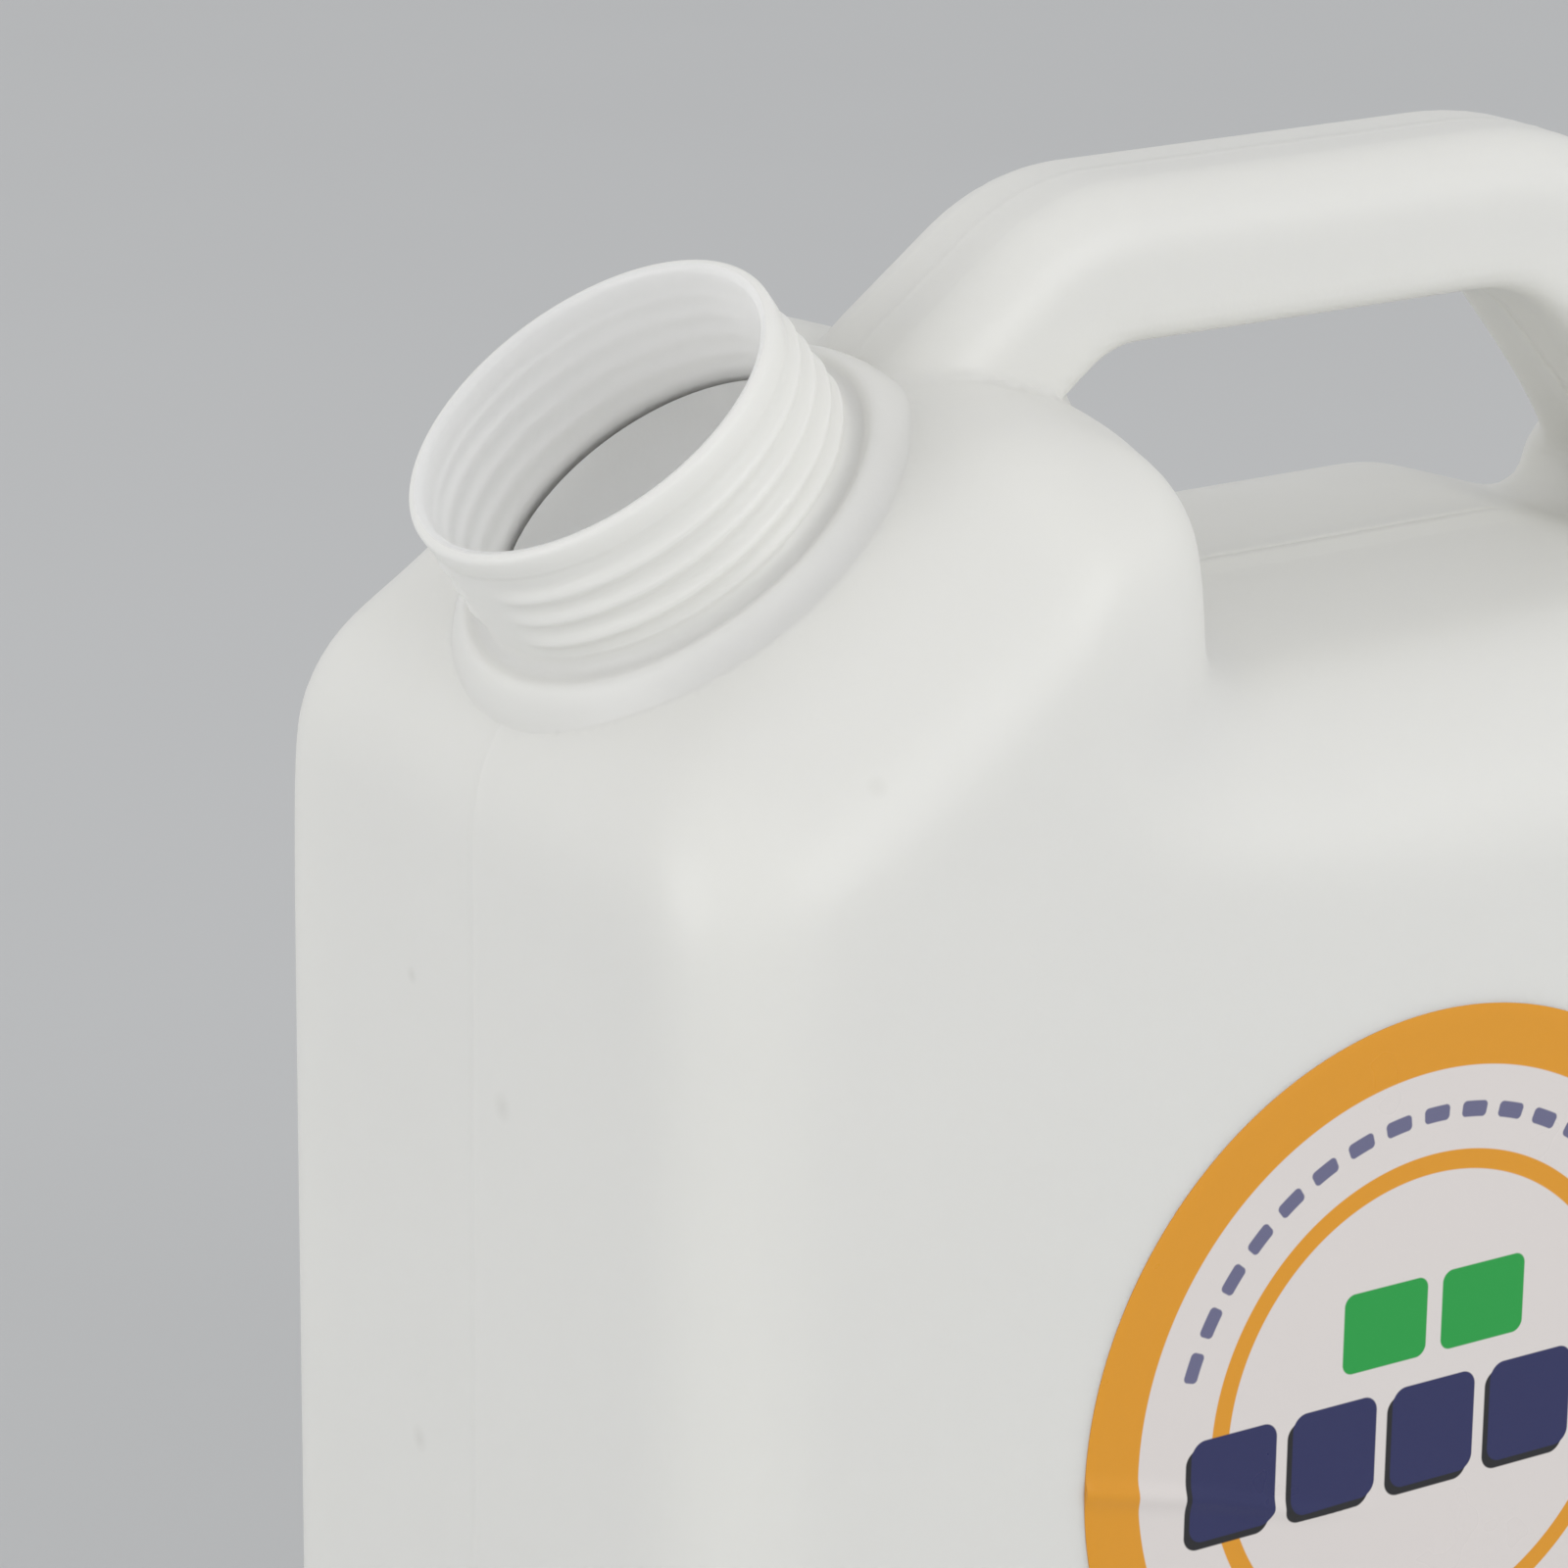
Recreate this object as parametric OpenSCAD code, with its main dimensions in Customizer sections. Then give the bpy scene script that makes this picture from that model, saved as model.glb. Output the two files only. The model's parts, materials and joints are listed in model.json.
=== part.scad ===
// Blow-moulded fuel mixing bottle with a tilted neck, a hollow handle and a round label.
// Millimetres, +Z up. X runs along the handle, Y through the depth.
// The origin is the middle of the base.

/* [Body] */
// overall width of the body along X
body_w = 202; // [160:1:260]
// overall depth of the body along Y
body_d = 104; // [80:1:140]
// thickness of the moulded wall
wall = 2; // [1.4:0.1:3]
// radius rolled along the front and back edges of walls and base
edge_r = 12; // [8:0.5:18]
// radius rolled along the front and back edges of shoulders and saddle
top_edge_r = 22; // [14:0.5:26]
// radius rolled along the upright edges of the shoulder's inner wall
boss_edge_r = 10; // [6:0.5:20]
// radius of the bottom corners seen from the front
base_r = 16; // [10:1:30]
// height of the saddle under the handle
saddle_z = 191.4; // [160:0.2:230]
// how far the saddle falls to front and back
saddle_crown = 4; // [0:0.5:8]

/* [Neck shoulder] */
// height where the neck shoulder would meet the left wall
shoulder_z = 186; // [150:1:215]
// angle of the neck shoulder above level
shoulder_tilt = 36.5; // [25:0.5:45]
// radius between wall and shoulder, both ends
shoulder_r = 22; // [14:1:30]
// distance from the left wall to the top of the neck shoulder
apex_run = 53; // [46:1:64]
// radius over the top of the neck shoulder
apex_r = 15; // [13:1:24]
// angle at which the top falls away behind the neck
fall_tilt = 17.5; // [8:0.5:25]
// distance from the left wall to the foot of the shoulder's inner wall
boss_run = 86; // [78:0.5:105]
// lean of the shoulder's inner wall from upright
boss_lean = 7; // [1:0.5:12]
// radius over the inner top edge
boss_r = 22; // [14:1:28]
// radius at the foot of the inner wall
valley_r = 8; // [5:1:20]
// how far the inner wall draws back at front and back
boss_crown = 19; // [5:1:28]
// how far the shoulder top draws back at front and back
apex_crown = 5; // [2:1:18]

/* [Far shoulder] */
// height where the far shoulder would meet the right wall
far_z = 174.5; // [140:0.5:185]
// angle of the far shoulder below level
far_tilt = 18; // [12:1:30]
// radius between saddle and far shoulder
far_r = 18; // [12:1:60]

/* [Neck] */
// distance from the left wall to the neck axis on the shoulder
neck_run = 27.5; // [25:0.5:34]
// height of the mouth above the shoulder, along the axis
neck_len = 20.5; // [15:0.5:28]
// outside diameter of the neck wall
neck_d = 47.6; // [40:0.2:54]
// diameter of the bore
bore_d = 43.6; // [36:0.2:50]
// outside diameter of the rim at the mouth
rim_d = 49.8; // [42:0.2:56]
// height of the rim band
rim_h = 4; // [2:0.5:6]
// rounding of the rim's outer edge
rim_round = 0.8; // [0.4:0.1:1.2]
// outside diameter of the collar on the shoulder
collar_d = 57; // [50:0.5:64]
// height of the collar
collar_h = 4; // [2:0.5:6]
// rounding of the collar's outer edge
collar_round = 3.2; // [1:0.1:3.6]

/* [Handle] */
// height of the top of the handle
handle_z = 242.4; // [228:0.2:270]
// height of the bar's section
handle_h = 19.6; // [15:0.2:24]
// width of the handle through the depth
handle_w = 25; // [18:0.5:32]
// angle of the leg behind the neck
leg_tilt = 37.5; // [30:0.5:45]
// distance from the left wall to the bend over the neck-side leg
near_bend = 78; // [66:1:90]
// distance from the right wall to the far bend
far_bend = 52; // [44:1:60]
// angle of the far leg below level
far_leg_tilt = 45; // [40:1:55]
// height of the far leg's section
far_leg_h = 26; // [20:1:30]
// width of the far leg at its foot
far_leg_w = 50; // [26:1:60]
// radius of the near bend's middle line
near_bend_r = 20; // [12:1:30]
// radius of the far bend's middle line
far_bend_r = 32; // [20:1:40]
// how far the far leg stays inside the right wall
far_inset = 4; // [3:0.5:8]

/* [Label] */
// diameter of the round label
label_d = 100; // [70:1:110]
// thickness of the label film
label_t = 0.2; // [0.1:0.05:0.4]
// height of the label's middle
label_z = 100; // [70:1:120]

/* [Hidden] */
$fn = 96;
half_w = body_w / 2;
half_d = body_d / 2;
face_mid = [apex_run - half_w, saddle_z / 2];
arc_steps = 9;
edge_steps = 8;
deep_steps = 6;
bend_steps = 7;
grip_sides = 24;
hollow_sides = 16;
round_sides = 48;
run_share = 0.49;
least_r = 3;
handle_square = 0.58;
leg_share = 0.75;
root_len = 18;
root_tilt = 56;
root_r = 14;
far_root_len = 26;
far_root_r = 18;
flare_power = 5;
leg_step = 5;
bore_over = 6;
far_reach = far_bend - far_inset - far_leg_h / 2;
seat_x = neck_run - half_w;
seat_z = shoulder_z + neck_run * tan(shoulder_tilt);
bar_z = handle_z - handle_h / 2;

// Outline of a section through the depth.
// The section at share u of the half depth, corners in order against the clock.
function apex_at(u) = [
  apex_run - half_w - apex_crown * u * u * cos(shoulder_tilt),
  shoulder_z + apex_run * tan(shoulder_tilt) - apex_crown * u * u * sin(shoulder_tilt)
];
function foot_x(u) = boss_run - half_w - boss_crown * u * u;
function floor_z(u) = saddle_z - saddle_crown * u * u;
function boss_top(u) = let (
  a = apex_at(u),
  k = tan(fall_tilt),
  m = tan(boss_lean),
  rise = (a.y - floor_z(u) - k * (foot_x(u) - a.x)) / (1 - k * m)
) [foot_x(u) - m * rise, floor_z(u) + rise];
function corners(u) = [
  [-half_w, 0],
  [half_w, 0],
  [half_w, far_z],
  [half_w - (floor_z(u) - far_z) / tan(far_tilt), floor_z(u)],
  [foot_x(u), floor_z(u)],
  boss_top(u),
  apex_at(u),
  [-half_w, shoulder_z]
];
corner_r = [base_r, base_r, shoulder_r, far_r, valley_r, boss_r, apex_r, shoulder_r];
line_r = [edge_r, edge_r, top_edge_r, top_edge_r, boss_edge_r, top_edge_r, top_edge_r, edge_r];

// Inset of a closed outline, line by line, and rounding of its corners.
function unit(v) = v / norm(v);
function left_of(v) = [-v.y, v.x];
function at(c, i) = c[(i + len(c)) % len(c)];
function inset_corner(c, i, s) = let (
  n1 = left_of(unit(at(c, i) - at(c, i - 1))),
  n2 = left_of(unit(at(c, i + 1) - at(c, i))),
  k = n1 * n2,
  s1 = at(s, i - 1),
  s2 = at(s, i)
) at(c, i) + ((s1 - s2 * k) * n1 + (s2 - s1 * k) * n2) / (1 - k * k);
function turn(d1, d2) = atan2(d1.x * d2.y - d1.y * d2.x, d1 * d2);
function arc(p, q, r, want, steps) = let (
  d1 = unit(q - p),
  d2 = unit(r - q),
  t = turn(d1, d2),
  half = tan(abs(t) / 2),
  run = min(want * half, run_share * norm(q - p), run_share * norm(r - q)),
  rad = run / half,
  side = t > 0 ? 1 : -1,
  mid = q - d1 * run + side * rad * left_of(d1),
  a0 = atan2(d1.y, d1.x)
) [for (j = [0:steps]) mid - side * rad * [-sin(a0 + t * j / steps), cos(a0 + t * j / steps)]];
function is_convex(c, i) = turn(at(c, i) - at(c, i - 1), at(c, i + 1) - at(c, i)) > 0;
function eased(c, i, m) = is_convex(c, i) ? max(corner_r[i] - m, least_r) : corner_r[i] + m;
function outline(u, s) = let (
  base = corners(u),
  c = [for (i = [0:len(base) - 1]) inset_corner(base, i, s)]
) [
  for (i = [0:len(c) - 1]) let (r = eased(c, i, (at(s, i - 1) + s[i]) / 2))
    each arc(at(c, i - 1), c[i], at(c, i + 1), r, arc_steps)
];

// Sections from back to front: place through the depth, and how far each line is drawn in there.
function rolled(r, depth) = depth < r ? r - sqrt(r * r - (r - depth) * (r - depth)) : 0;
function places(skin) = let (h = half_d - skin, r = top_edge_r - skin) concat(
  [for (k = [0:edge_steps - 1]) h - r * (1 - cos(90 * k / edge_steps))],
  [for (k = [0:deep_steps]) (h - r) * (1 - 2 * k / deep_steps)],
  [for (k = [edge_steps - 1:-1:0]) r * (1 - cos(90 * k / edge_steps)) - h]
);
function drawn_in(y, skin) = [for (r = line_r) skin + rolled(r - skin, half_d - skin - abs(y))];

// Skin of a stack of rings, closed at both ends on a middle point.
function ring_faces(rings, n) = [
  for (k = [0:rings - 2])
    for (i = [0:n - 1]) let (a = k * n + i, b = k * n + (i + 1) % n)
      each [[a, b, a + n], [b, b + n, a + n]]
];
function cap_faces(rings, n) = let (m = rings * n, last = (rings - 1) * n) concat(
  [for (i = [0:n - 1]) [m, (i + 1) % n, i]],
  [for (i = [0:n - 1]) [m + 1, last + i, last + (i + 1) % n]]
);
module skin_of(rings, ends) {
  n = len(rings[0]);
  sheets = concat(ring_faces(len(rings), n), cap_faces(len(rings), n));
  polyhedron(
    points = concat([for (r = rings) each r], ends),
    faces = [for (f = sheets) [f[2], f[1], f[0]]],
    convexity = 6
  );
}

// The body as a loft of its sections, drawn in by the wall for the hollow.
module body_form(skin) {
  l = places(skin);
  skin_of(
    [for (y = l) [for (p = outline(y / half_d, drawn_in(y, skin))) [p.x, y, p.y]]],
    [[face_mid.x, l[0], face_mid.y], [face_mid.x, l[len(l) - 1], face_mid.y]]
  );
}

// Middle line of the handle from inside the neck shoulder to inside the far wall.
near_top = [near_bend - half_w, bar_z];
near_foot = near_top - leg_share * (near_bend - apex_run) * [1, tan(leg_tilt)];
near_root = near_foot - root_len * [cos(root_tilt), sin(root_tilt)];
far_top = [half_w - far_bend, bar_z];
far_foot = far_top + far_reach * [1, -tan(far_leg_tilt)];
far_root = far_foot - [0, far_root_len];
route = [near_root, near_foot, near_top, far_top, far_foot, far_root];
route_r = [0, root_r, near_bend_r, far_bend_r, far_root_r, 0];
function bent_line() = [
  route[0],
  for (i = [1:4]) each arc(route[i - 1], route[i], route[i + 1], route_r[i], bend_steps),
  route[5]
];
function leg_parts(p, q) = p.x < far_top.x ? 1 : ceil(norm(q - p) / leg_step);
function route_line() = let (l = bent_line(), n = len(l) - 1) [
  for (i = [0:n - 1]) let (parts = leg_parts(l[i], l[i + 1]))
    for (k = [0:parts - 1]) l[i] + (l[i + 1] - l[i]) * k / parts,
  l[n]
];
function ease(t) = t * t * (3 - 2 * t);
function far_run(p) = let (start = far_top.x - far_bend_r / 2)
  min(max((p.x - start) / (far_foot.x - start), 0), 1);
function along(l, i) = unit(l[min(i + 1, len(l) - 1)] - l[max(i - 1, 0)]);
function section(p, d, w, h, sides) = let (up = left_of(d)) [
  for (j = [0:sides - 1]) let (
    a = 360 * j / sides,
    y = sign(cos(a)) * pow(abs(cos(a)), handle_square) * w / 2,
    q = p + up * sign(sin(a)) * pow(abs(sin(a)), handle_square) * h / 2
  ) [q.x, y, q.y]
];
module handle_form(skin, sides) {
  l = route_line();
  n = len(l) - 1;
  skin_of(
    [for (i = [0:n]) section(
      l[i], along(l, i),
      handle_w + (far_leg_w - handle_w) * pow(far_run(l[i]), flare_power) - 2 * skin,
      handle_h + (far_leg_h - handle_h) * ease(far_run(l[i])) - 2 * skin,
      sides
    )],
    [[l[0].x, 0, l[0].y], [l[n].x, 0, l[n].y]]
  );
}

// Places a child on the shoulder with its Z along the neck.
module on_neck() {
  translate([seat_x, 0, seat_z])
    rotate([0, -shoulder_tilt, 0])
      children();
}
module round_band(d, low, tall, r) {
  translate([0, low])
    square([d / 2 - r, tall]);
  translate([0, low])
    square([d / 2, tall - r]);
  translate([d / 2 - r, low + tall - r])
    circle(r = r, $fn = round_sides);
}
module neck_solid() {
  rotate_extrude()
    union() {
      translate([0, -wall])
        square([neck_d / 2, neck_len + wall - rim_h / 2]);
      round_band(rim_d, neck_len - rim_h, rim_h, rim_round);
      round_band(collar_d, -wall, wall + collar_h, collar_round);
    }
}

module bottle() {
  color("WhiteSmoke")
    difference() {
      union() {
        body_form(0);
        handle_form(0, grip_sides);
        on_neck()
          neck_solid();
      }
      body_form(wall);
      handle_form(wall, hollow_sides);
      on_neck()
        translate([0, 0, -bore_over])
          cylinder(d = bore_d, h = neck_len + 2 * bore_over);
    }
}

module label() {
  color("Orange")
    translate([0, -half_d, label_z])
      rotate([90, 0, 0])
        cylinder(d = label_d, h = label_t);
}

bottle();
label();
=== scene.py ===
import json
import math
import bmesh
import bpy
import numpy as np
from mathutils import Matrix, Vector


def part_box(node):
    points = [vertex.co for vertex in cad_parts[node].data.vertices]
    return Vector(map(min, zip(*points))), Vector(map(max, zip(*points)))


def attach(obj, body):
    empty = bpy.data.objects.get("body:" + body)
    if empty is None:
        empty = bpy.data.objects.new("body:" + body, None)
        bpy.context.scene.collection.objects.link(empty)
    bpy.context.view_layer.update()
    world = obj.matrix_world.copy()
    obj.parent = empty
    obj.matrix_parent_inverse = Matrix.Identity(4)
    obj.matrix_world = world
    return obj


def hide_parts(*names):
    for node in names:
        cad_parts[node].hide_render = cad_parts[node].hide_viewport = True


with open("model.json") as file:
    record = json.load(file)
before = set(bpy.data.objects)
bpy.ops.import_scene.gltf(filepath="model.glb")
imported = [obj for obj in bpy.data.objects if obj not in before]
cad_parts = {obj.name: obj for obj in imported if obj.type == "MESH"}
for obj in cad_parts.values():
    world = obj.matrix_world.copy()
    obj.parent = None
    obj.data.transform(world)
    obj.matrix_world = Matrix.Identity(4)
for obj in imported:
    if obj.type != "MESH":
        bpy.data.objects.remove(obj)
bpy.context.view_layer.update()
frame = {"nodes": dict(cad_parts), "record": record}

mm = 0.001
scene = bpy.context.scene
print("frame loaded:", sorted(frame["nodes"]))


# one wrapped socket: expressions on it add Math nodes
class Wire:
    def __init__(self, tree, socket):
        self.tree = tree
        self.socket = socket

    def maths(self, operation, *others):
        node = self.tree.nodes.new("ShaderNodeMath")
        node.operation = operation
        for slot, value in zip(node.inputs, (self,) + others):
            plug(self.tree, slot, value)
        return Wire(self.tree, node.outputs[0])

    def __add__(self, other):
        return self.maths("ADD", other)

    def __sub__(self, other):
        return self.maths("SUBTRACT", other)

    def __mul__(self, other):
        return self.maths("MULTIPLY", other)

    def __truediv__(self, other):
        return self.maths("DIVIDE", other)

    def __rsub__(self, other):
        return (self * -1.0) + other

    __radd__ = __add__
    __rmul__ = __mul__

    def over(self, edge, blur):  # 0 below the edge, 1 above it
        return ((self - edge) / blur + 0.5).maths("MAXIMUM", 0.0).maths("MINIMUM", 1.0)

    def below(self, edge, blur):
        return 1 - self.over(edge, blur)


def plug(tree, slot, value):
    if isinstance(value, Wire):
        tree.links.new(value.socket, slot)
    elif isinstance(value, (tuple, list)) and len(value) == 3 and slot.type == "RGBA":
        slot.default_value = (*value, 1.0)
    else:
        slot.default_value = value


class Finish:  # the nodes of one material or world
    def __init__(self, owner):
        owner.use_nodes = True
        self.tree = owner.node_tree
        self.tree.nodes.clear()

    def node(self, kind, settings=None, sockets=None, out=0):
        made = self.tree.nodes.new("ShaderNode" + kind)
        for key, value in (settings or {}).items():
            setattr(made, key, value)
        for key, value in (sockets or {}).items():
            plug(self.tree, made.inputs[key], value)
        return Wire(self.tree, made.outputs[out]) if made.outputs else made

    def place(self):  # metres in the shared frame
        return self.node("TexCoord", out="Object")

    def noise(self, scale, detail=2.0, rough=0.5):
        values = {"Vector": self.place(), "Scale": scale, "Detail": detail, "Roughness": rough}
        return self.node("TexNoise", None, values)

    def mixed(self, share, low, high):
        return self.node("Mix", {"data_type": "RGBA"}, {0: share, 6: low, 7: high}, out=2)

    def distance(self, point):
        values = {0: self.place(), 1: point}
        return self.node("VectorMath", {"operation": "DISTANCE"}, values, out="Value")

    def bump(self, height, strength):
        return self.node("Bump", None, {"Strength": strength, "Distance": 1.0, "Height": height})


# milky polyethylene with a few faint specks, each a place and a radius in millimetres;
# the radii of scattered light are in metres
plasticLook = {
    "milk": (0.80, 0.797, 0.76), "shade": (0.77, 0.767, 0.735), "mottleScale": 14.0, "mottleShare": 0.6,
    "speck": (0.5, 0.49, 0.45), "speckShare": 0.22, "speckBlur": 1.6,
    "specks": [
        ((-101.0, 13.4, 94.1), 1.1), ((-101.0, -6.3, 143.0), 1.2), ((-101.0, 14.4, 152.8), 0.7),
        ((-95.5, -10.5, 188.5), 0.5), ((-78.3, -48.4, 189.6), 0.9),
    ],
    "roughness": 0.42, "roughSpread": 0.12, "roughScale": 60.0, "refraction": 1.5,
    "grainScale": 900.0, "grainHeight": 0.00003, "waveScale": 42.0, "waveHeight": 0.0003, "bump": 0.5,
    "outer": {"name": "milky_plastic", "paintedLightGain": 1.0, "weight": 0.5, "radius": (0.005, 0.005, 0.0047)},
    "inner": {"name": "milky_plastic_inside", "paintedLightGain": 1.0, "weight": 1.0, "radius": (0.035, 0.035, 0.033)},
    "neck": {"name": "milky_plastic_neck", "paintedLightGain": 1.0, "weight": 0.6, "radius": (0.006, 0.006, 0.0057)},
    # the mouth's gain above 1 is painted light: a lighter copy of the milk for the light through the wall
    "mouth": {"name": "milky_plastic_mouth", "paintedLightGain": 1.2, "weight": 0.8, "radius": (0.06, 0.06, 0.0565)},
}


def milkyPlastic(scatter):
    look = plasticLook
    material = bpy.data.materials.new(scatter["name"])
    f = Finish(material)
    # the gain lightens a skin's colours; on the mouth this is painted light for the light through the wall
    milk, shade = (tuple(scatter["paintedLightGain"] * v for v in look[key]) for key in ("milk", "shade"))
    tone = f.mixed(f.noise(look["mottleScale"], 3.0, 0.55).over(0.5, 0.5) * look["mottleShare"], milk, shade)
    for point, radius in look["specks"]:
        away = f.distance(tuple(v * mm for v in point))
        spot = away.below(radius * mm, look["speckBlur"] * radius * mm)
        tone = f.mixed(spot * look["speckShare"], tone, look["speck"])
    smoothest = look["roughness"] - look["roughSpread"] / 2
    rough = f.noise(look["roughScale"], 3.0, 0.6) * look["roughSpread"] + smoothest
    height = f.noise(look["grainScale"], 2.0, 0.6) * look["grainHeight"]
    height = height + f.noise(look["waveScale"]) * look["waveHeight"]
    shader = f.node("BsdfPrincipled", None, {
        "Base Color": tone, "Roughness": rough, "Normal": f.bump(height, look["bump"]),
        "IOR": look["refraction"], "Subsurface Weight": scatter["weight"],
        "Subsurface Radius": scatter["radius"], "Subsurface Scale": 1.0,
    })
    f.node("OutputMaterial", None, {"Surface": shader})
    return material


# one finish a skin: the inner ones show more of the light beyond the wall; the mouth's colour is also painted
# lighter, painted light for the light shining through the wall
skins = ("outer", "inner", "neck", "mouth")
plastics = [milkyPlastic(plasticLook[skin]) for skin in skins]


def setPlastic(thing, skin):
    for material in plastics:
        thing.data.materials.append(material)
    thing.data.polygons.foreach_set("material_index", [skins.index(skin)] * len(thing.data.polygons))


# the blown body, in millimetres; cornerR and edgeR follow the outline from the base's left corner
bottleForm = {
    "shoulderZ": 186.0, "shoulderTilt": 36.5, "apexRun": 53.0, "apexCrown": 5.0, "fallTilt": 17.5,
    "bossRun": 86.0, "bossLean": 7.0, "bossCrown": 19.0, "saddleZ": 191.4, "saddleCrown": 4.0,
    "farZ": 174.5, "farTilt": 18.0, "wall": 2.0,
    "cornerR": (16.0, 16.0, 22.0, 18.0, 5.0, 22.0, 15.0, 22.0),
    "edgeR": (12.0, 12.0, 22.0, 22.0, 10.0, 22.0, 22.0, 12.0),
    "arcSteps": 8, "softenings": 3, "edgeSpread": 60.0, "edgeFalloff": -1.5,
    "fineSteps": (1.5, 6.0), "coarseSteps": (3.6, 9.0), "plainFrom": 26.0, "plainTo": 140.0,
}

# the grip, swept along one bent line
gripForm = {
    "height": 19.0, "width": 25.0, "topCorner": 7.5, "underCorner": 3.8,
    "legTilt": 37.5, "nearBend": 78.0, "nearBendR": 20.0, "legShare": 0.75,
    "rootLength": 18.0, "rootTilt": 56.0, "rootR": 14.0,
    "farBend": 52.0, "farBendR": 32.0, "farLegTilt": 45.0, "farLegHeight": 26.0, "farLegWidth": 50.0,
    "flarePower": 5, "farInset": 4.0, "farRootLength": 26.0, "farRootR": 18.0,
    "nearBlend": 1.2, "farBlend": 8.0, "blendFrom": 10.0, "blendTo": 70.0, "bendSteps": 10,
}

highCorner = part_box("bottle")[1]
halfWidth = highCorner.x / mm
halfDepth = highCorner.y / mm
gripTop = highCorner.z / mm


def unit(v):
    return v / np.linalg.norm(v)


def leftOf(v):
    return np.array([-v[1], v[0]])


def roundedCorner(before, corner, after, radius, steps):
    d1, d2 = unit(corner - before), unit(after - corner)
    angle = math.atan2(d1[0] * d2[1] - d1[1] * d2[0], d1 @ d2)
    half = math.tan(abs(angle) / 2)
    room = 0.49 * min(np.linalg.norm(corner - before), np.linalg.norm(after - corner))
    run = min(radius * half, room)
    side = 1.0 if angle > 0 else -1.0
    middle = corner - d1 * run + side * run / half * leftOf(d1)
    start = math.atan2(d1[1], d1[0])
    turns = start + angle * np.arange(steps + 1) / steps
    return middle - side * run / half * np.stack([-np.sin(turns), np.cos(turns)], 1)


def bodyCorners(share):  # corners at a share of the half depth
    f = bottleForm
    tilt = math.radians(f["shoulderTilt"])
    back = share * share
    apexX = f["apexRun"] - halfWidth - f["apexCrown"] * back * math.cos(tilt)
    apexZ = f["shoulderZ"] + f["apexRun"] * math.tan(tilt) - f["apexCrown"] * back * math.sin(tilt)
    footX = f["bossRun"] - halfWidth - f["bossCrown"] * back
    footZ = f["saddleZ"] - f["saddleCrown"] * back
    fall, lean = math.tan(math.radians(f["fallTilt"])), math.tan(math.radians(f["bossLean"]))
    rise = (apexZ - footZ - fall * (footX - apexX)) / (1 - fall * lean)
    farRun = (footZ - f["farZ"]) / math.tan(math.radians(f["farTilt"]))
    return np.array([
        (-halfWidth, 0.0),
        (halfWidth, 0.0),
        (halfWidth, f["farZ"]),
        (halfWidth - farRun, footZ),
        (footX, footZ),
        (footX - lean * rise, footZ + rise),
        (apexX, apexZ),
        (-halfWidth, f["shoulderZ"]),
    ])


def bodyOutline(corners):
    f = bottleForm
    before, after = np.roll(corners, 1, 0), np.roll(corners, -1, 0)
    rounds = zip(before, corners, after, f["cornerR"])
    return np.concatenate([roundedCorner(*spots, f["arcSteps"]) for spots in rounds])


def gripRoute():
    g = gripForm
    barZ = gripTop - g["height"] / 2
    nearTop = np.array([g["nearBend"] - halfWidth, barZ])
    legRun = g["legShare"] * (g["nearBend"] - bottleForm["apexRun"])
    nearFoot = nearTop - legRun * np.array([1.0, math.tan(math.radians(g["legTilt"]))])
    rootTilt = math.radians(g["rootTilt"])
    nearRoot = nearFoot - g["rootLength"] * np.array([math.cos(rootTilt), math.sin(rootTilt)])
    farTop = np.array([halfWidth - g["farBend"], barZ])
    reach = g["farBend"] - g["farInset"] - g["farLegHeight"] / 2
    farFoot = farTop + reach * np.array([1.0, -math.tan(math.radians(g["farLegTilt"]))])
    farRoot = farFoot - np.array([0.0, g["farRootLength"]])
    stops = [nearRoot, nearFoot, nearTop, farTop, farFoot, farRoot]
    radii = [g["rootR"], g["nearBendR"], g["farBendR"], g["farRootR"]]
    spots = zip(stops, stops[1:], stops[2:], radii)
    bends = [roundedCorner(*spot, g["bendSteps"]) for spot in spots]
    return np.concatenate([nearRoot[None]] + bends + [farRoot[None]]), farTop, farFoot


def segmentGaps(px, pz, start, stop):  # squared distance to each segment, and share along it
    run = stop - start
    size = np.maximum((run ** 2).sum(1), 1e-9)
    vx = px[:, None] - start[:, 0]
    vz = pz[:, None] - start[:, 1]
    t = np.clip((vx * run[:, 0] + vz * run[:, 1]) / size, 0, 1)
    return (vx - t * run[:, 0]) ** 2 + (vz - t * run[:, 1]) ** 2, t


def edgeRadius(px, pz, corners):  # radius of the outline's nearest lines
    gap, _ = segmentGaps(px, pz, corners, np.roll(corners, -1, 0))
    weight = (gap + bottleForm["edgeSpread"]) ** bottleForm["edgeFalloff"]
    return weight @ np.array(bottleForm["edgeR"]) / weight.sum(1)


def signedOutline(px, pz, line):  # negative inside
    stop = np.roll(line, -1, 0)
    gap, _ = segmentGaps(px, pz, line, stop)
    crossing = (line[:, 1] > pz[:, None]) != (stop[:, 1] > pz[:, None])
    rise = stop[:, 1] - line[:, 1]
    rise = np.where(np.abs(rise) < 1e-9, 1e-9, rise)
    at = line[:, 0] + (pz[:, None] - line[:, 1]) * (stop[:, 0] - line[:, 0]) / rise
    inside = ((crossing & (px[:, None] < at)).sum(1) % 2) == 1
    return np.where(inside, -1, 1) * np.sqrt(gap.min(1))


def smoothStep(value, low, high):
    t = np.clip((value - low) / (high - low), 0, 1)
    return t * t * (3 - 2 * t)


def roundedPair(a, b, radius):  # two signed distances joined over a rolled edge
    a, b = a + radius, b + radius
    return np.hypot(np.maximum(a, 0), np.maximum(b, 0)) + np.minimum(np.maximum(a, b), 0) - radius


def blendedUnion(a, b, reach):
    h = np.maximum(reach - np.abs(a - b), 0) / reach
    return np.minimum(a, b) - h * h * reach / 4


def mirrored(layers, shape):  # layers from the middle plane outwards
    half = np.stack([layer.reshape(shape) for layer in layers], 1)
    return np.concatenate([half[:, ::-1], half], 1)


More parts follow.
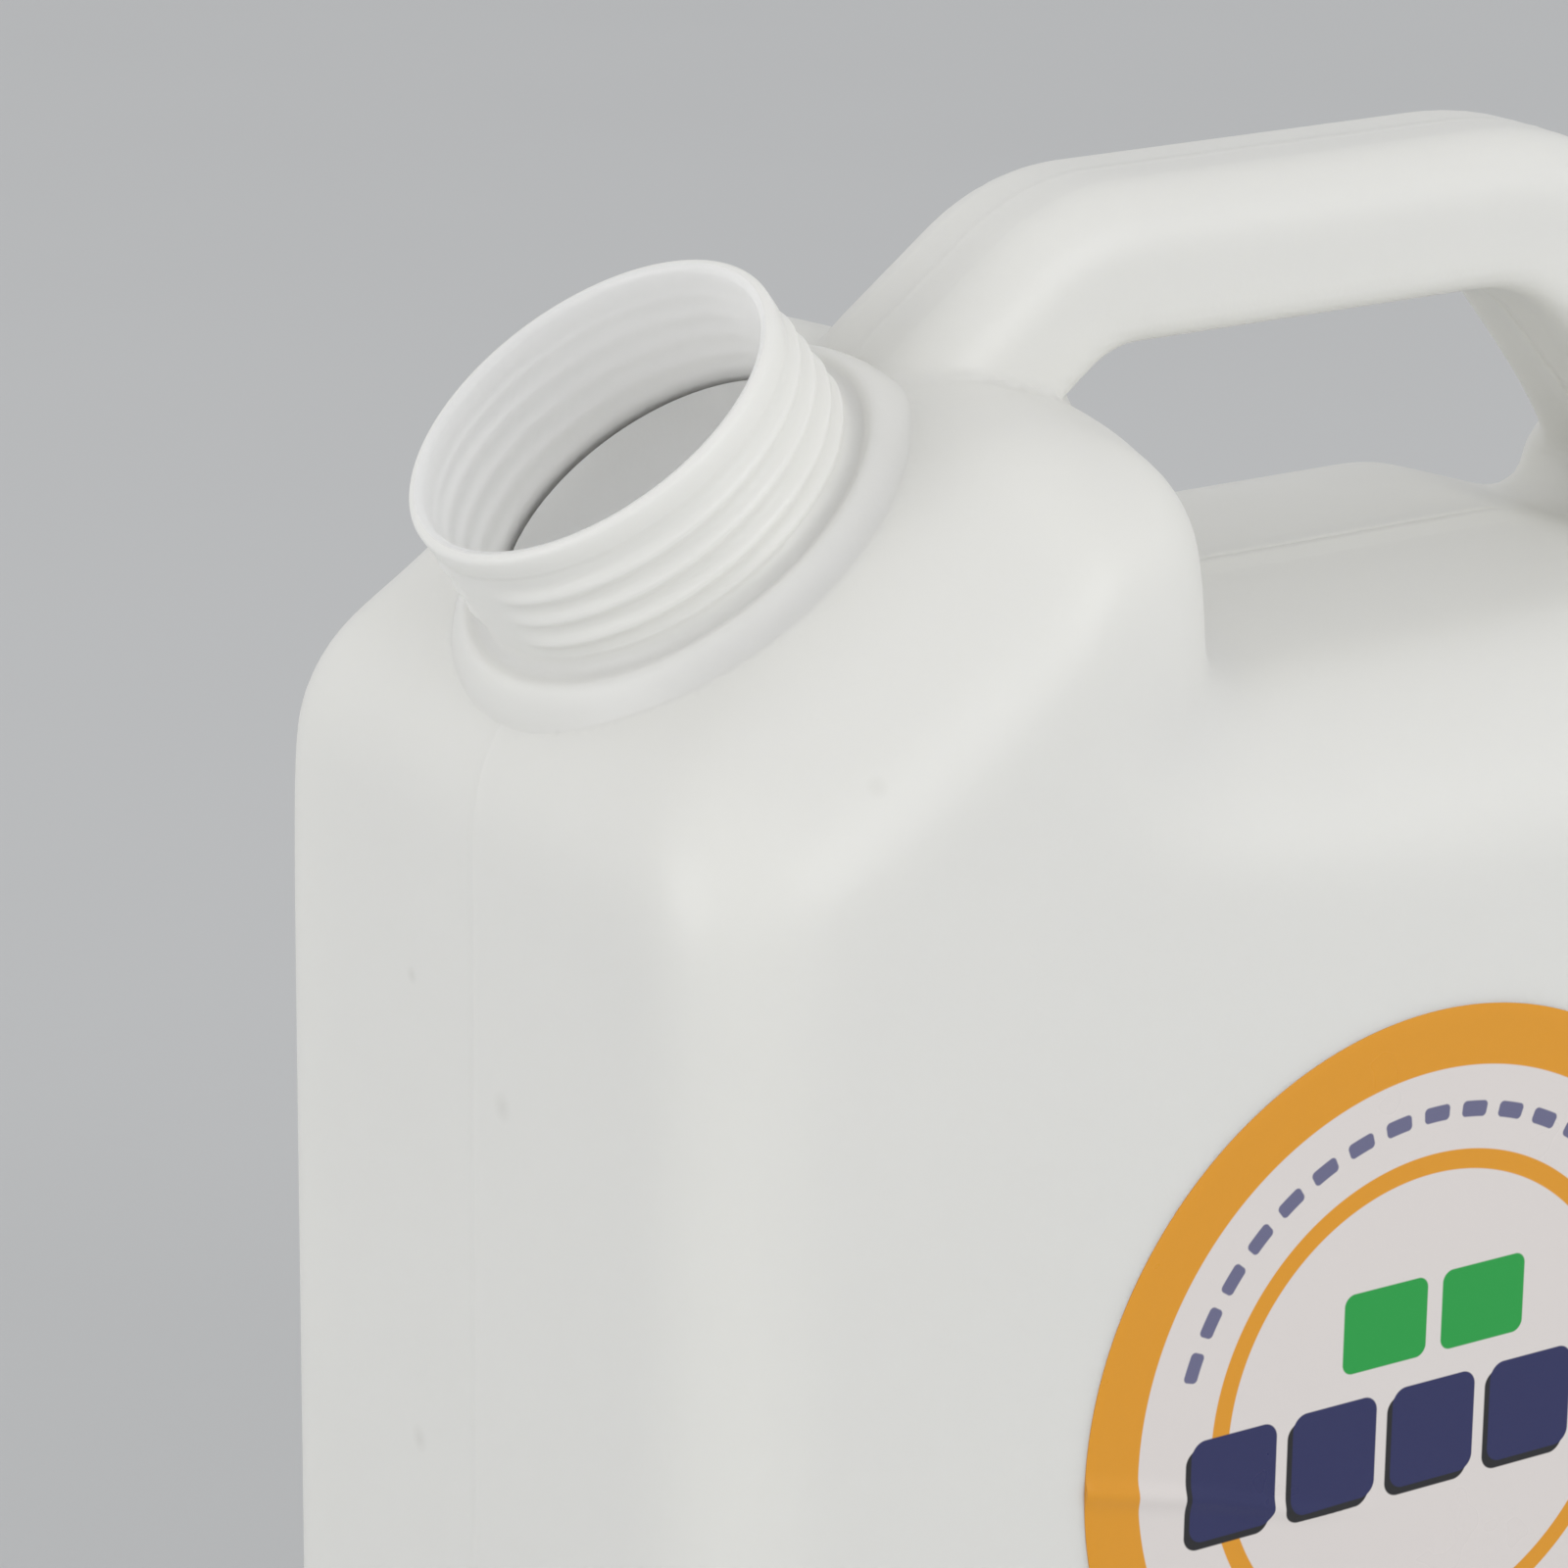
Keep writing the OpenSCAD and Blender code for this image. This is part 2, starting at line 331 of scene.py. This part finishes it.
def gripSection(gx, gz):  # distance from the grip's line, and the half height, half width and corner there
    g = gripForm
    route, farTop, farFoot = gripRoute()
    gap, share = segmentGaps(gx, gz, route[:-1], route[1:])
    pick = gap.argmin(1)
    rows = np.arange(len(gx))
    start, way = route[pick], route[pick + 1] - route[pick]
    onRoute = start[:, 0] + way[:, 0] * share[rows, pick]
    begin = farTop[0] - g["farBendR"] / 2
    far = np.clip((onRoute - begin) / (farFoot[0] - begin), 0, 1)
    halfH = (g["height"] + (g["farLegHeight"] - g["height"]) * smoothStep(far, 0, 1)) / 2
    halfW = (g["width"] + (g["farLegWidth"] - g["width"]) * far ** g["flarePower"]) / 2
    isTop = way[:, 0] * (gz - start[:, 1]) > way[:, 1] * (gx - start[:, 0])
    corner = np.where(isTop, g["topCorner"], g["underCorner"])
    return np.sqrt(gap[rows, pick]), halfH, halfW, corner


def gripGap(section, y):
    across, halfH, halfW, corner = section
    return roundedPair(across - halfH, y - halfW, corner)


def blendReach(x):
    g = gripForm
    return g["nearBlend"] + (g["farBlend"] - g["nearBlend"]) * smoothStep(x, g["blendFrom"], g["blendTo"])


def formLevel(axes, body):  # the whole form at any grid place, with the grip worked out there
    def level(at):
        x, y, z = (np.interp(at[:, k], np.arange(len(axes[k])), axes[k]) for k in range(3))
        return blendedUnion(sampled(body, at), gripGap(gripSection(x, z), np.abs(y)), blendReach(x))
    return level


def bottleField(steps):  # grid axes, and signed distances of the whole form and of the body without grip
    f = bottleForm
    step, plainStep = steps
    pad = 4 * step
    xs = np.arange(-halfWidth - pad, halfWidth + pad + step, step)
    ys = np.arange(step / 2, halfDepth + pad + step, step)
    low, high = np.arange(-pad, f["plainFrom"], step), np.arange(f["plainTo"], gripTop + pad + step, step)
    zs = np.concatenate([low, np.arange(f["plainFrom"], f["plainTo"], plainStep), high])
    shape = (len(xs), len(zs))
    gx, gz = (v.ravel() for v in np.meshgrid(xs, zs, indexing="ij"))
    layers = []
    for y in ys:
        corners = bodyCorners(min(y / halfDepth, 1.0))
        flat = signedOutline(gx, gz, bodyOutline(corners))
        layers.append(roundedPair(flat, y - halfDepth, edgeRadius(gx, gz, corners)))
    body = mirrored(layers, shape)
    for _ in range(f["softenings"]):
        for axis in range(3):
            body = softened(body, axis)
    section = gripSection(gx, gz)
    grip = mirrored([gripGap(section, y) for y in ys], shape)
    axes = (xs, np.concatenate([-ys[::-1], ys]), zs)
    return axes, blendedUnion(body, grip, blendReach(xs)[:, None, None]), body


def softened(field, axis):
    padded = np.concatenate([field.take([0], axis), field, field.take([-1], axis)], axis)
    count = field.shape[axis]
    pick = [np.take(padded, np.arange(k, k + count), axis) for k in range(3)]
    return (pick[0] + 2 * pick[1] + pick[2]) / 4


def sampled(field, at):  # trilinear values at grid places
    low = np.clip(np.floor(at).astype(int), 0, np.array(field.shape[:3]) - 2)
    t = at - low
    total = 0
    for dx in (0, 1):
        for dy in (0, 1):
            for dz in (0, 1):
                weight = (
                    (t[:, 0] if dx else 1 - t[:, 0])
                    * (t[:, 1] if dy else 1 - t[:, 1])
                    * (t[:, 2] if dz else 1 - t[:, 2])
                )
                value = field[low[:, 0] + dx, low[:, 1] + dy, low[:, 2] + dz]
                total = total + (weight[:, None] if value.ndim > 1 else weight) * value
    return total


# how the mesh settles on its level
netForm = {"relaxings": 3, "relaxShare": 0.5, "pulls": 4, "pullShare": 0.75}


def netSurface(axes, field, level=None):  # quads over the zero level of a grid
    cells = tuple(n - 1 for n in field.shape)
    total = np.zeros(cells + (3,))
    count = np.zeros(cells)
    inside = field < 0
    for axis in range(3):
        a = field.take(np.arange(field.shape[axis] - 1), axis)
        b = field.take(np.arange(1, field.shape[axis]), axis)
        crossing = (a < 0) != (b < 0)
        share = np.where(crossing, a / np.where(crossing, a - b, 1), 0)
        others = [k for k in range(3) if k != axis]
        for d1 in (0, 1):
            for d2 in (0, 1):
                pick = [slice(None)] * 3
                pick[others[0]] = slice(d1, d1 + cells[others[0]])
                pick[others[1]] = slice(d2, d2 + cells[others[1]])
                hit = crossing[tuple(pick)]
                total[..., axis] += share[tuple(pick)] * hit
                total[..., others[0]] += d1 * hit
                total[..., others[1]] += d2 * hit
                count += hit
    used = count > 0
    number = np.full(cells, -1)
    number[used] = np.arange(used.sum())
    points = np.argwhere(used) + total[used] / count[used][:, None]
    quads = []
    for axis in range(3):
        b, c = (axis + 1) % 3, (axis + 2) % 3
        a0 = inside.take(np.arange(field.shape[axis] - 1), axis)
        a1 = inside.take(np.arange(1, field.shape[axis]), axis)
        for rising, hit in ((True, a0 & ~a1), (False, ~a0 & a1)):
            at = np.argwhere(hit)
            ring = []
            for db, dc in ((-1, -1), (0, -1), (0, 0), (-1, 0)):
                cell = at.copy()
                cell[:, b] += db
                cell[:, c] += dc
                ring.append(number[tuple(cell.T)])
            quad = np.stack(ring, 1)
            quads.append(quad if rising else quad[:, ::-1])
    quads = np.concatenate(quads)
    slope = np.stack(np.gradient(field), -1)
    pairs = np.concatenate([quads[:, [k, (k + 1) % 4]] for k in range(4)])
    for turn in range(netForm["relaxings"] + 1):
        if turn:
            around = np.zeros_like(points)
            for k in range(3):
                around[:, k] = np.bincount(pairs[:, 0], points[pairs[:, 1], k], len(points))
            around /= np.bincount(pairs[:, 0], minlength=len(points))[:, None]
            points = (1 - netForm["relaxShare"]) * points + netForm["relaxShare"] * around
        for _ in range(netForm["pulls"]):
            value = level(points) if level else sampled(field, points)
            lean = sampled(slope, points)
            pull = netForm["pullShare"] * value / np.maximum((lean ** 2).sum(1), 1e-9)
            points = points - lean * pull[:, None]
    spots = [np.interp(points[:, k], np.arange(len(axes[k])), axes[k]) for k in range(3)]
    return np.stack(spots, 1), quads


def meshObject(name, points, faces, scale=mm):
    mesh = bpy.data.meshes.new(name)
    mesh.from_pydata((np.asarray(points) * scale).tolist(), [], [list(map(int, f)) for f in faces])
    mesh.validate()
    thing = bpy.data.objects.new(name, mesh)
    scene.collection.objects.link(thing)
    return thing


axes, field, bodyField = bottleField(bottleForm["fineSteps"])
outerPoints, outerQuads = netSurface(axes, field, formLevel(axes, bodyField))
bottle = meshObject("bottle_shell", outerPoints, outerQuads)
print("outer skin:", len(outerQuads), "quads")

coarseAxes, coarse, _ = bottleField(bottleForm["coarseSteps"])
innerPoints, innerQuads = netSurface(coarseAxes, coarse + bottleForm["wall"])
hollow = meshObject("bottle_hollow", innerPoints, innerQuads)
print("hollow:", len(innerQuads), "quads")


# parting line of the two mould halves: a fine raised line, and a low ridge with a seam inside the grip's loop
partingLine = {
    "lineHeight": 0.08, "ridgeHalf": 5.0, "ridgeHeight": 0.6, "seamDepth": 0.2, "seamHalf": 0.05,
    "cutReach": 6.0, "weld": 0.02,
    "cuts": (-5.6, -4.6, -3.2, -1.6, -0.3, 0.0, 0.3, 1.6, 3.2, 4.6, 5.6), "facing": (0.1, 0.4),
    "loopLow": (-24.0, 172.0), "loopHigh": (92.0, 226.0), "loopMiddle": (18.0, 208.0),
}


def raisePartingLine(thing):
    p = partingLine
    mesh = bmesh.new()
    mesh.from_mesh(thing.data)
    for y in p["cuts"]:
        near = [v for v in mesh.verts if abs(v.co.y / mm - y) < p["cutReach"]]
        edges = {e for v in near for e in v.link_edges}
        faces = {face for v in near for face in v.link_faces}
        bmesh.ops.bisect_plane(
            mesh, geom=list(near) + list(edges) + list(faces), dist=p["weld"] * mm,
            plane_co=(0, y * mm, 0), plane_no=(0, 1, 0),
        )
    mesh.normal_update()
    moves = []
    for v in mesh.verts:
        off = abs(v.co.y) / mm
        if off > p["ridgeHalf"]:
            continue
        x, z = v.co.x / mm, v.co.z / mm
        inLoop = p["loopLow"][0] < x < p["loopHigh"][0] and p["loopLow"][1] < z < p["loopHigh"][1]
        inward = Vector((p["loopMiddle"][0] - x, 0, p["loopMiddle"][1] - z)).normalized()
        share = inLoop * smoothStep(inward.dot(v.normal), *p["facing"])
        onSeam = off < p["seamHalf"]
        ridge = p["ridgeHeight"] * (1 - off / p["ridgeHalf"]) - onSeam * p["seamDepth"]
        moves.append((v, share * ridge + (1 - share) * onSeam * p["lineHeight"]))
    for v, height in moves:
        v.co += Vector((v.normal.x, 0, v.normal.z)).normalized() * height * mm
    mesh.to_mesh(thing.data)
    mesh.free()


raisePartingLine(bottle)
print("parting line raised")


# neck, collar and thread, turned about the neck's own axis; heights start on the shoulder
neckForm = {
    "mountUp": 10.0, "length": 20.5, "footR": 24.4, "topR": 23.6,
    "lipR": 24.1, "lipFrom": 16.4, "lipTo": 17.8, "lipRound": 0.9,
    "collarR": 30.9, "crestR": 26.9, "collarHeight": 3.0, "collarSkew": 0.85, "collarSink": 0.1,
    "groove": 2.8, "grooveShares": (0.3, 0.65), "footFillet": 1.8, "rootDepth": 2.5,
    "threadLow": 5.4, "threadStart": (-1.2, 0.4), "threadHigh": 15.6, "threadEnd": (-0.2, 1.4),
    "threadPitch": 3.3, "threadHeight": 0.75, "threadSharp": 1.4, "threadBreak": 0.1, "threadFade": 0.42,
    "boreR": 22.2, "boreBelow": 9.0, "boreAbove": 3.0, "boreFlare": 4.6, "sideFlare": 3.4, "sideReach": 12.0,
    "hollowLow": -2.2, "hollowRise": 4.5, "probe": (-9.0, 4.0), "probeStep": 0.25,
    "rowStep": 0.34, "sides": 240, "roundRows": 9, "collarRows": 17, "hollowRows": 12, "sharpAngle": 42.0,
}
neckMount = next(m for m in frame["record"]["mounts"] if m["name"] == "neck")
neckAxis = Vector(neckMount["axis"]).normalized()
neckSeat = Vector(neckMount["pos_m"]) - neckAxis * neckForm["mountUp"] * mm
neckTurn = Vector((0, 0, 1)).rotation_difference(neckAxis).to_matrix()
neckFrame = Matrix.Translation(neckSeat) @ neckTurn.to_4x4()
boreR = neckForm["boreR"]
angles = 2 * math.pi * np.arange(neckForm["sides"]) / neckForm["sides"]


def roundRows(centreR, centreZ, radius, start, stop):  # rows over an arc, from one angle to another
    turns = np.radians(np.linspace(start, stop, neckForm["roundRows"]))
    return [(centreR + radius * math.cos(a), centreZ + radius * math.sin(a)) for a in turns]


def threadRise(height):  # a soft helical wave, fading out at the parting plane
    n = neckForm
    phase = (height - n["threadLow"]) / n["threadPitch"] - angles / (2 * math.pi)
    wave = 0.5 + 0.5 * np.cos(2 * math.pi * phase)
    run = smoothStep(height, *(n["threadLow"] + v for v in n["threadStart"]))
    run = run * (1 - smoothStep(height, *(n["threadHigh"] + v for v in n["threadEnd"])))
    gaps = smoothStep(np.abs(np.sin(angles)), n["threadBreak"], n["threadFade"])
    return n["threadHeight"] * wave ** n["threadSharp"] * run * gaps


def shoulderHeight(radius):  # height of the blown shoulder below each angle
    step = neckForm["probeStep"]
    heights = np.arange(*neckForm["probe"], step)
    ring = np.stack([radius * np.cos(angles), radius * np.sin(angles), 0 * angles], 1)
    turn, seat = np.array(neckTurn), np.array(neckSeat) / mm
    spots = (ring @ turn.T + seat)[:, None] + heights[:, None] * np.array(neckAxis)
    grid = [np.interp(spots[..., k], axes[k], np.arange(len(axes[k]))).ravel() for k in range(3)]
    values = sampled(bodyField, np.stack(grid, 1))
    values = values.reshape(len(angles), len(heights))
    last = np.where(values < 0, np.arange(len(heights)), 0).max(1)
    rows = np.arange(len(angles))
    low, high = values[rows, last], values[rows, last + 1]
    return heights[last] + step * low / (low - high)


def turned(name, rows):  # closed solid of revolution on the neck; a row may vary with the angle
    sides = neckForm["sides"]
    points, faces = [], []
    for radius, height in rows:
        reach, lift = radius + 0 * angles, height + 0 * angles
        points += np.stack([reach * np.cos(angles), reach * np.sin(angles), lift], 1).tolist()
    for row in range(len(rows) - 1):
        for k in range(sides):
            a, b = row * sides + k, row * sides + (k + 1) % sides
            faces.append((a, b, b + sides, a + sides))
    points += [(0, 0, float(np.mean(rows[0][1]))), (0, 0, float(np.mean(rows[-1][1])))]
    last = (len(rows) - 1) * sides
    for k in range(sides):
        faces.append((len(points) - 2, (k + 1) % sides, k))
        faces.append((len(points) - 1, last + k, last + (k + 1) % sides))
    thing = meshObject(name, points, faces)
    thing.data.transform(neckFrame)
    return thing


def neckWall(height):
    n = neckForm
    return n["footR"] + (n["topR"] - n["footR"]) * height / n["lipTo"]


def neckRows():
    n = neckForm
    rows = [(n["collarR"], shoulderHeight(n["collarR"]) - n["rootDepth"])]
    for share in np.linspace(0, 1, n["collarRows"]):  # the collar swells out of the shoulder
        radius = n["collarR"] + (n["crestR"] - n["collarR"]) * share
        rise = smoothStep(share ** n["collarSkew"], 0, 1)
        seat = shoulderHeight(radius) - n["collarSink"]
        rows.append((radius, (1 - rise) * seat + rise * n["collarHeight"]))
    foot, filletTop = n["footFillet"], n["groove"] + n["footFillet"]
    fillet = roundRows(neckWall(filletTop) + foot, filletTop, foot, 265, 185)
    for share in n["grooveShares"]:
        fall = smoothStep(share, 0, 1) * (n["groove"] - n["collarHeight"])
        rows.append((n["crestR"] + (fillet[0][0] - n["crestR"]) * share, n["collarHeight"] + fall))
    rows += fillet
    for height in np.arange(filletTop + 0.1, n["lipTo"], n["rowStep"]):
        wallR = neckWall(height)
        lip = (n["lipR"] - wallR) * smoothStep(height, n["lipFrom"], n["lipTo"])
        rows.append((wallR + lip + threadRise(height), height))
    rows += roundRows(n["lipR"] - n["lipRound"], n["length"] - n["lipRound"], n["lipRound"], 0, 90)
    return rows


def boreRows():
    n = neckForm
    side = np.abs(np.sin(angles))
    flare = n["boreFlare"] + n["sideFlare"] * side  # wider to the front and back
    rows = [(boreR + flare + n["sideReach"] * side, -n["boreBelow"])]
    for turn in np.radians(np.linspace(0, 90, n["hollowRows"])):  # hollow of the collar
        rows.append((boreR + flare * math.cos(turn), n["hollowLow"] + n["hollowRise"] * math.sin(turn)))
    rows += roundRows(boreR + n["lipRound"], n["length"] - n["lipRound"], n["lipRound"], 180, 90)
    rows += [(boreR + n["lipRound"], n["length"] + n["boreAbove"])]
    return rows


def joined(target, tool, operation):
    cut = target.modifiers.new("join", "BOOLEAN")
    cut.operation = operation
    cut.solver = "MANIFOLD"
    cut.object = tool
    shape = target.evaluated_get(bpy.context.evaluated_depsgraph_get())
    mesh = bpy.data.meshes.new_from_object(shape)
    target.modifiers.clear()
    target.data = mesh
    bpy.data.objects.remove(tool)


neck = turned("neck_turned", neckRows())
bore = turned("bore_turned", boreRows())
for thing, skin in zip((bottle, hollow, neck, bore), skins):
    setPlastic(thing, skin)
joined(bottle, neck, "UNION")
joined(bottle, hollow, "DIFFERENCE")
joined(bottle, bore, "DIFFERENCE")
bottle.name = "bottle_blown"
bottle.data.polygons.foreach_set("use_smooth", [True] * len(bottle.data.polygons))
bottle.data.set_sharp_from_angle(angle=math.radians(neckForm["sharpAngle"]))
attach(bottle, "root")
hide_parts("bottle")
print("bottle:", sum(len(p.vertices) - 2 for p in bottle.data.polygons), "triangles")


# round label film with a slight crease; creaseX and creaseZ are shares of the label's radius
labelForm = {
    "rings": 60, "sides": 480, "lift": 0.03, "edgeRound": 0.12, "edgeRun": 0.4, "sharpAngle": 50.0,
    "creaseX": (-1.0, -0.61, -0.37, -0.1), "creaseZ": (0.0, -0.11, -0.2, -0.25),
    "creaseHeight": (0.5, 0.45, 0.3, 0.0), "creaseHalf": (1.4, 1.1, 0.8, 0.7),
}
labelLow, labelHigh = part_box("label")
labelMiddle = (labelLow + labelHigh) / 2
labelR = (labelHigh.x - labelLow.x) / 2 / mm
labelT = (labelHigh.y - labelLow.y) / mm


def creaseRise(x, z):
    f = labelForm
    along = x / labelR
    middle, height, half = (
        np.interp(along, f["creaseX"], f[key]) for key in ("creaseZ", "creaseHeight", "creaseHalf")
    )
    return height * np.exp(-((z - middle * labelR) / half) ** 2)


def labelMesh():
    f = labelForm
    sides, rings = f["sides"], f["rings"]
    turns = 2 * math.pi * np.arange(sides) / sides
    points = [(0.0, -labelT - f["lift"], 0.0)]
    for radius in labelR * np.arange(1, rings + 1) / rings:
        x, z = radius * np.cos(turns), radius * np.sin(turns)
        drop = f["edgeRound"] * smoothStep(radius, labelR - f["edgeRun"], labelR)
        points += np.stack([x, drop - labelT - f["lift"] - creaseRise(x, z), z], 1).tolist()
    points += np.stack([labelR * np.cos(turns), 0 * turns, labelR * np.sin(turns)], 1).tolist()
    points.append((0.0, 0.0, 0.0))
    faces = [(0, 1 + k, 1 + (k + 1) % sides) for k in range(sides)]
    for ring in range(rings):
        for k in range(sides):
            a, b = 1 + ring * sides + k, 1 + ring * sides + (k + 1) % sides
            faces.append((a, a + sides, b + sides, b))
    last = 1 + rings * sides
    faces += [(len(points) - 1, last + (k + 1) % sides, last + k) for k in range(sides)]
    return points, faces


labelPoints, labelFaces = labelMesh()
label = meshObject("label_film", labelPoints, labelFaces)
label.data.transform(Matrix.Translation((labelMiddle.x, labelHigh.y, labelMiddle.z)))
label.data.polygons.foreach_set("use_smooth", [True] * len(label.data.polygons))
label.data.set_sharp_from_angle(angle=math.radians(labelForm["sharpAngle"]))
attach(label, "root")
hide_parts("label")
print("label:", len(labelFaces), "faces")


# printed film: two rings, rows of plain blocks and an arc of dashes, in shares of the label's radius
filmLook = {
    "white": (0.745, 0.70, 0.68), "orange": (0.76, 0.32, 0.01), "green": (0.006, 0.34, 0.05),
    "navy": (0.014, 0.018, 0.10), "black": (0.006, 0.006, 0.009), "pale": (0.14, 0.14, 0.25),
    "ringInner": 0.85, "thinInner": 0.59, "thinOuter": 0.64, "blur": 0.0035,
    "inkScale": 700.0, "inkShare": 0.18, "inkShade": 0.86,
    "greenRow": {
        "start": -0.28, "step": 0.295, "count": 2, "width": 0.25, "low": 0.125, "high": 0.33, "round": 0.03,
    },
    "navyRow": {
        "start": -0.72, "step": 0.298, "count": 5, "width": 0.25, "low": -0.205, "high": 0.055, "round": 0.04,
    },
    "shadow": (-0.016, -0.018),
    "dashRow": {
        "start": 0.27, "step": 0.1535, "count": 17, "width": 0.075, "low": 0.72, "high": 0.76, "round": 0.012,
    },
    "dashStretch": 0.74, "roughness": 0.3, "roughSpread": 0.14, "roughScale": 90.0,
    "waveScale": 35.0, "waveHeight": 0.0004, "bump": 0.4,
    "refraction": 1.48, "coat": 0.25, "coatRoughness": 0.12,
}


def blocks(u, v, row, blur, stretch=1.0):  # one where a row of rounded blocks lies
    cell = ((u - row["start"]) / row["step"]).maths("FLOOR")
    cell = cell.maths("MAXIMUM", 0.0).maths("MINIMUM", row["count"] - 1.0)
    middle = (cell + 0.5) * row["step"] + row["start"]
    half = (row["width"] / 2 - row["round"], (row["high"] - row["low"]) / 2 - row["round"])
    across = ((u - middle) * stretch).maths("ABSOLUTE") - half[0]
    along = (v - (row["low"] + row["high"]) / 2).maths("ABSOLUTE") - half[1]
    across, along = across.maths("MAXIMUM", 0.0), along.maths("MAXIMUM", 0.0)
    return (across * across + along * along).maths("SQRT").below(row["round"], blur)


def printedFilm():
    look = filmLook
    material = bpy.data.materials.new("printed_film")
    f = Finish(material)
    x = (f.node("SeparateXYZ", None, {0: f.place()}, out="X") - labelMiddle.x) / (labelR * mm)
    z = (f.node("SeparateXYZ", None, {0: f.place()}, out="Z") - labelMiddle.z) / (labelR * mm)
    away = (x * x + z * z).maths("SQRT")
    blur = look["blur"]
    ink = f.noise(look["inkScale"], 2.0, 0.6) * look["inkShare"]
    orange = f.mixed(ink, look["orange"], tuple(look["inkShade"] * v for v in look["orange"]))
    rings = away.over(look["ringInner"], blur)
    rings = rings + away.over(look["thinInner"], blur) * away.below(look["thinOuter"], blur)
    tone = f.mixed(rings, look["white"], orange)
    turn = z.maths("ARCTAN2", x)
    tone = f.mixed(blocks(turn, away, look["dashRow"], blur, look["dashStretch"]), tone, look["pale"])
    tone = f.mixed(blocks(x, z, look["greenRow"], blur), tone, look["green"])
    dx, dz = look["shadow"]
    tone = f.mixed(blocks(x - dx, z - dz, look["navyRow"], blur), tone, look["black"])
    tone = f.mixed(blocks(x, z, look["navyRow"], blur), tone, look["navy"])
    rough = f.noise(look["roughScale"]) * look["roughSpread"] + (look["roughness"] - look["roughSpread"] / 2)
    wave = f.noise(look["waveScale"]) * look["waveHeight"]
    shader = f.node("BsdfPrincipled", None, {
        "Base Color": tone, "Roughness": rough, "Normal": f.bump(wave, look["bump"]),
        "IOR": look["refraction"], "Coat Weight": look["coat"], "Coat Roughness": look["coatRoughness"],
    })
    f.node("OutputMaterial", None, {"Surface": shader})
    return material


label.data.materials.append(printedFilm())
print("finishes set")


# camera at the photograph's view; distances in metres
viewForm = {
    "azimuth": -33.21, "elevation": 18.09, "roll": 0.63, "distance": 0.68563,
    "target": (-0.0926, -0.052, 0.19352), "focalPixels": 6500.0, "imagePixels": 1600.0, "sensor": 36.0,
    "nearClip": 0.01,
}


def placeCamera():
    v = viewForm
    az, el, roll = (math.radians(v[k]) for k in ("azimuth", "elevation", "roll"))
    look = Vector((-math.sin(az) * math.cos(el), math.cos(az) * math.cos(el), -math.sin(el)))
    right = Vector((math.cos(az), math.sin(az), 0))
    up = right.cross(look)
    rolledRight = right * math.cos(roll) + up * math.sin(roll)
    rolledUp = up * math.cos(roll) - right * math.sin(roll)
    turn = Matrix((rolledRight, rolledUp, -look)).transposed().to_4x4()
    data = bpy.data.cameras.new("camera")
    data.sensor_width = v["sensor"]
    data.sensor_fit = "HORIZONTAL"
    data.lens = v["focalPixels"] * v["sensor"] / v["imagePixels"]
    data.clip_start = v["nearClip"]
    camera = bpy.data.objects.new("camera", data)
    camera.matrix_world = Matrix.Translation(Vector(v["target"]) - look * v["distance"]) @ turn
    scene.collection.objects.link(camera)
    scene.camera = camera


placeCamera()


# studio: pale floor, even light from all round and two broad lamps, each with place, aim, size and power
studio = {
    "floorHalf": 3.0, "floorTone": (0.60, 0.61, 0.62), "floorScale": 6.0, "floorShade": 0.97,
    "floorRoughness": 0.8, "seen": (0.60, 0.61, 0.62), "worldLight": 0.74,
    "lamps": [
        ("key", (0.25, -1.2, 0.6), (0, 0, 0.16), 1.0, 5.0),
        ("fill", (-1.25, 0.1, 0.35), (0, 0, 0.16), 0.9, 3.7),
    ],
}


def paleFloor():
    s = studio
    half = s["floorHalf"]
    corners = [(-half, -half, 0), (half, -half, 0), (half, half, 0), (-half, half, 0)]
    floor = meshObject("floor", corners, [(0, 1, 2, 3)], 1.0)
    material = bpy.data.materials.new("pale_floor")
    f = Finish(material)
    shade = tuple(s["floorShade"] * v for v in s["floorTone"])
    tone = f.mixed(f.noise(s["floorScale"], 3.0, 0.5), s["floorTone"], shade)
    shader = f.node("BsdfPrincipled", None, {"Base Color": tone, "Roughness": s["floorRoughness"]})
    f.node("OutputMaterial", None, {"Surface": shader})
    floor.data.materials.append(material)


def paleWorld():
    s = studio
    scene.world = bpy.data.worlds.new("studio")
    f = Finish(scene.world)
    seen = f.node("LightPath", out="Is Camera Ray")
    for name in ("Is Glossy Ray", "Is Transmission Ray"):
        seen = seen.maths("MAXIMUM", f.node("LightPath", out=name))
    lit = f.node("Background", None, {"Color": (1.0, 1.0, 1.0), "Strength": s["worldLight"]})
    shown = f.node("Background", None, {"Color": s["seen"], "Strength": 1.0})
    f.node("OutputWorld", None, {"Surface": f.node("MixShader", None, {0: seen, 1: lit, 2: shown})})


def placeLamps():
    for name, place, aim, size, power in studio["lamps"]:
        data = bpy.data.lights.new(name, "AREA")
        data.shape = "DISK"
        data.size = size
        data.energy = power
        lamp = bpy.data.objects.new(name, data)
        lamp.location = place
        lamp.rotation_euler = (Vector(aim) - Vector(place)).to_track_quat("-Z", "Y").to_euler()
        scene.collection.objects.link(lamp)


paleFloor()
paleWorld()
placeLamps()
scene.view_settings.view_transform = "Standard"
print("studio set")
